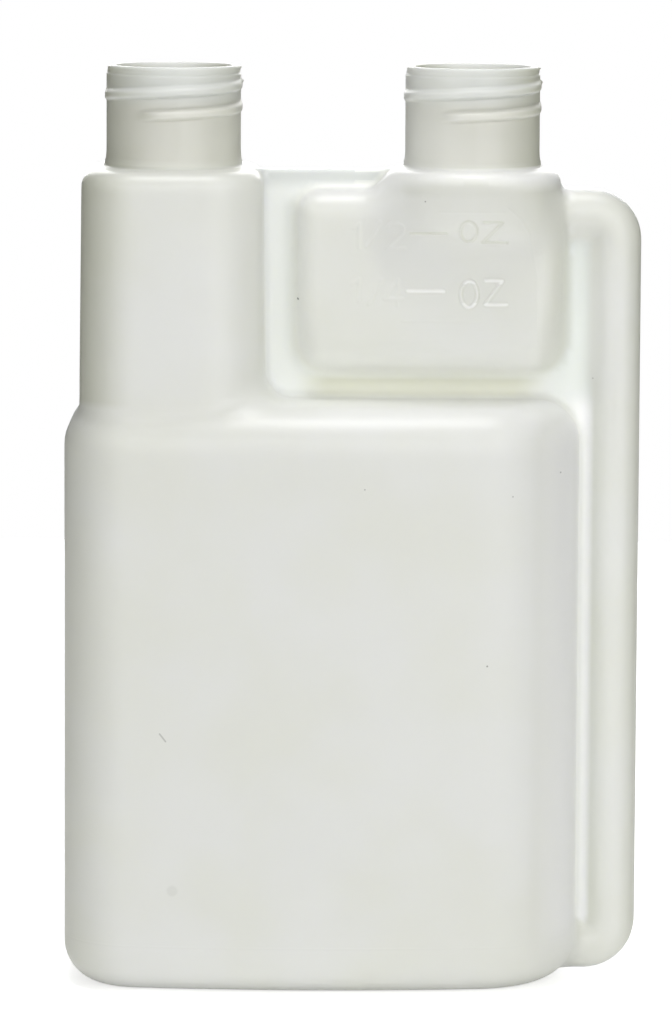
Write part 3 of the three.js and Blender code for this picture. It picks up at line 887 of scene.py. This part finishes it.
def plasticMaterial():
    # One scattering plastic. Its colour is blended from place to place over soft borders, then by
    # the two weights of each point, painted shade and painted light, and last by the specks.
    material = bpy.data.materials.new("naturalPolyethylene")
    material.use_nodes = True
    tree = material.node_tree
    tree.nodes.clear()
    root = Sock(tree, None)
    out = root.node("ShaderNodeOutputMaterial")
    shader = root.node("ShaderNodeBsdfPrincipled")
    tree.links.new(shader.outputs[0], out.inputs["Surface"])
    shader.inputs["IOR"].default_value = plastic["ior"]
    shader.inputs["Subsurface Weight"].default_value = plastic["scatter"]
    shader.inputs["Subsurface Radius"].default_value = plastic["radius"]
    shader.inputs["Subsurface Scale"].default_value = plastic["scatterScale"]
    where = Sock(tree, root.node("ShaderNodeTexCoord").outputs["Object"])

    def noise(scale, detail):
        made = root.node("ShaderNodeTexNoise", Vector=where, Scale=scale, Detail=detail)
        return Sock(tree, made.outputs[0])

    def over(mask, under, name):
        return mask.blend(under, (*plastic[name], 1))

    axes = root.node("ShaderNodeSeparateXYZ", Vector=where)
    x, y, z = (Sock(tree, axes.outputs[i]) for i in range(3))
    cloud = noise(plastic["cloud"], 2.0)
    colour = over(cloud.ramp(*plastic["tinted"]), (*plastic["colour"], 1), "tint")
    # The web is painted lighter and cooler for the light that shows through it from behind. It is
    # lighter still beside the body next to the tube, and a little darker in the recess between the
    # chamber and the tube. Its top edge and the band under the chamber get painted shade, with the
    # band warm.
    webColour = over(above(z, "webTop"), (*plastic["web"], 1), "webTop")
    webColour = over(above(x, "strip") * below(z, "stripTop"), webColour, "strip")
    webColour = over(above(x, "recess") * above(z, "recessFoot"), webColour, "recess")
    inShadeBand = below(z, "bandTop") * above(x, "bandLeft") * below(x, "bandRight")
    webColour = over(inShadeBand, webColour, "bandShade")
    colour = below(abs(y), "web").blend(colour, webColour)
    colour = over(above(z, "neck"), colour, "neck")
    colour = over(above(z, "lip"), colour, "lip")

    # Both bores at once: the two necks lie alike about the plane half-way between them.
    away = abs(x - (neck["fillX"] + neck["doseX"]) / 2 * millimetre)
    away = away - (neck["doseX"] - neck["fillX"]) / 2 * millimetre
    square = away * away + y * y
    radius = square.math("SQRT", square)
    colour = over(below(radius, "bore") * above(z, "boreFoot"), colour, "mouth")
    # Painted shade on the sides, then painted light, each by its weight at the point.
    for name in ("edge", "paintedLight"):
        weight = root.node("ShaderNodeAttribute", {"attribute_name": name}).outputs["Fac"]
        colour = over(Sock(tree, weight), colour, name)
    colour = over(speckTone(where, y), colour, "speck")
    tree.links.new(colour.socket, shader.inputs["Base Color"])

    rough = plastic["roughness"] + (cloud - 0.5) * plastic["uneven"]
    tree.links.new(rough.socket, shader.inputs["Roughness"])

    # Broad shallow dents, and a fine line round the foot where the mould's bottom insert ends.
    relief = noise(plastic["dents"], 0.0) * (plastic["dentHeight"] * millimetre)
    foot = abs(z - plastic["footLine"] * millimetre)
    foot = foot.ramp(0.0, plastic["footWidth"] * millimetre, 1.0, 0.0)
    foot = foot * below(x, "footRight") * (plastic["footHeight"] * millimetre)
    bump = root.node("ShaderNodeBump", Height=relief + foot, Distance=1.0, Strength=0.5)
    tree.links.new(bump.outputs[0], shader.inputs["Normal"])
    return material


shellObject = bpy.data.objects.new("bottleShell", buildShell())
paintLightAndShade(shellObject.data)
bpy.context.scene.collection.objects.link(shellObject)
shellObject.data.materials.append(plasticMaterial())
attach(shellObject, "root")
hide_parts("bottle")
print("shell", len(shellObject.data.polygons), "faces")

# Floor, white surroundings and lamps, in metres and watts. A lamp is its place, the width of its
# disc and its power.
studio = {
    "floorSize": 0.6, "floorTone": 0.9, "floorGlow": 0.55, "floorShine": 0.14, "around": 0.04,
    "floorRoughness": 0.8, "floorSpecular": 0.2, "aimHeight": 0.09,
    "lamps": {
        "front": (-0.05, -1.5, 0.4, 1.2, 2.6),
        "right": (0.75, -1.3, 0.5, 1.5, 11.3),
        "left": (-0.75, -1.3, 0.5, 1.2, 5.2),
        "top": (0.0, -0.15, 1.0, 0.5, 4.2),
        "back": (0.0, 1.2, 0.6, 1.2, 12.0),
    },
}


def makeFloor():
    # A flat square at the height of the base.
    size = studio["floorSize"]
    mesh = bpy.data.meshes.new("floor")
    corners = [(-size, -size, 0), (size, -size, 0), (size, size, 0), (-size, size, 0)]
    mesh.from_pydata(corners, [], [(0, 1, 2, 3)])
    floor = bpy.data.objects.new("floor", mesh)
    bpy.context.scene.collection.objects.link(floor)
    material = bpy.data.materials.new("paleFloor")
    material.use_nodes = True
    shader = material.node_tree.nodes["Principled BSDF"]
    shader.inputs["Base Color"].default_value = (*(studio["floorTone"],) * 3, 1)
    shader.inputs["Roughness"].default_value = studio["floorRoughness"]
    shader.inputs["Specular IOR Level"].default_value = studio["floorSpecular"]
    # The floor glows in full for the camera only, so that it is white without lighting the foot.
    tree = material.node_tree
    path = Sock(tree, None).node("ShaderNodeLightPath")
    seen = Sock(tree, path.outputs["Is Camera Ray"])
    glow = seen * (1 - studio["floorShine"]) + studio["floorShine"]
    tree.links.new(glow.socket, shader.inputs["Emission Color"])
    material.cycles.emission_sampling = "NONE"
    shader.inputs["Emission Strength"].default_value = studio["floorGlow"]
    mesh.materials.append(material)


def makeLamp(name, x, y, z, size, power):
    # A round lamp that looks at the middle of the bottle.
    light = bpy.data.lights.new(name, "AREA")
    light.shape = "DISK"
    light.size = size
    light.energy = power
    lamp = bpy.data.objects.new(name, light)
    bpy.context.scene.collection.objects.link(lamp)
    lamp.visible_camera = False
    lamp.location = (x, y, z)
    toBottle = Vector((0, 0, studio["aimHeight"])) - lamp.location
    lamp.rotation_euler = toBottle.to_track_quat("-Z", "Y").to_euler()


def makeSurroundings():
    # White for the camera, and a low even light for everything else.
    world = bpy.data.worlds.new("surroundings")
    bpy.context.scene.world = world
    world.use_nodes = True
    world.cycles.sampling_method = "NONE"
    tree = world.node_tree
    tree.nodes.clear()
    root = Sock(tree, None)
    path = root.node("ShaderNodeLightPath")
    seen = Sock(tree, path.outputs["Is Camera Ray"])
    strength = studio["around"] + seen * (1 - studio["around"])
    background = root.node("ShaderNodeBackground", Color=(1, 1, 1, 1), Strength=strength)
    out = root.node("ShaderNodeOutputWorld")
    tree.links.new(background.outputs[0], out.inputs["Surface"])


makeFloor()
for lampName, lampFacts in studio["lamps"].items():
    makeLamp(lampName, *lampFacts)
makeSurroundings()
print("studio ready")

# Camera, fitted to the outline in the photograph: millimetres, degrees and picture pixels.
view = {
    "x": -3.3, "y": -1018.0, "z": 224.05, "tilt": 5.95, "roll": 0.29, "focal": 5398.2,
    "pictureHeight": 1024, "sensor": 36, "shift": -0.15, "clip": (0.05, 20),
}


def makeCamera():
    # The focal length in picture pixels is turned into millimetres on a sensor of that height.
    data = bpy.data.cameras.new("camera")
    data.sensor_width = view["sensor"]
    data.lens = view["focal"] * view["sensor"] / view["pictureHeight"]
    data.shift_y = view["shift"]
    data.clip_start, data.clip_end = view["clip"]
    camera = bpy.data.objects.new("camera", data)
    bpy.context.scene.collection.objects.link(camera)
    tilt = Matrix.Rotation(math.radians(90 - view["tilt"]), 4, "X")
    roll = Matrix.Rotation(math.radians(view["roll"]), 4, "Z")
    place = Matrix.Translation([view[axis] * millimetre for axis in "xyz"])
    camera.matrix_world = place @ tilt @ roll
    bpy.context.scene.camera = camera


makeCamera()
print("camera ready")
bpy.context.scene.view_settings.view_transform = "Standard"
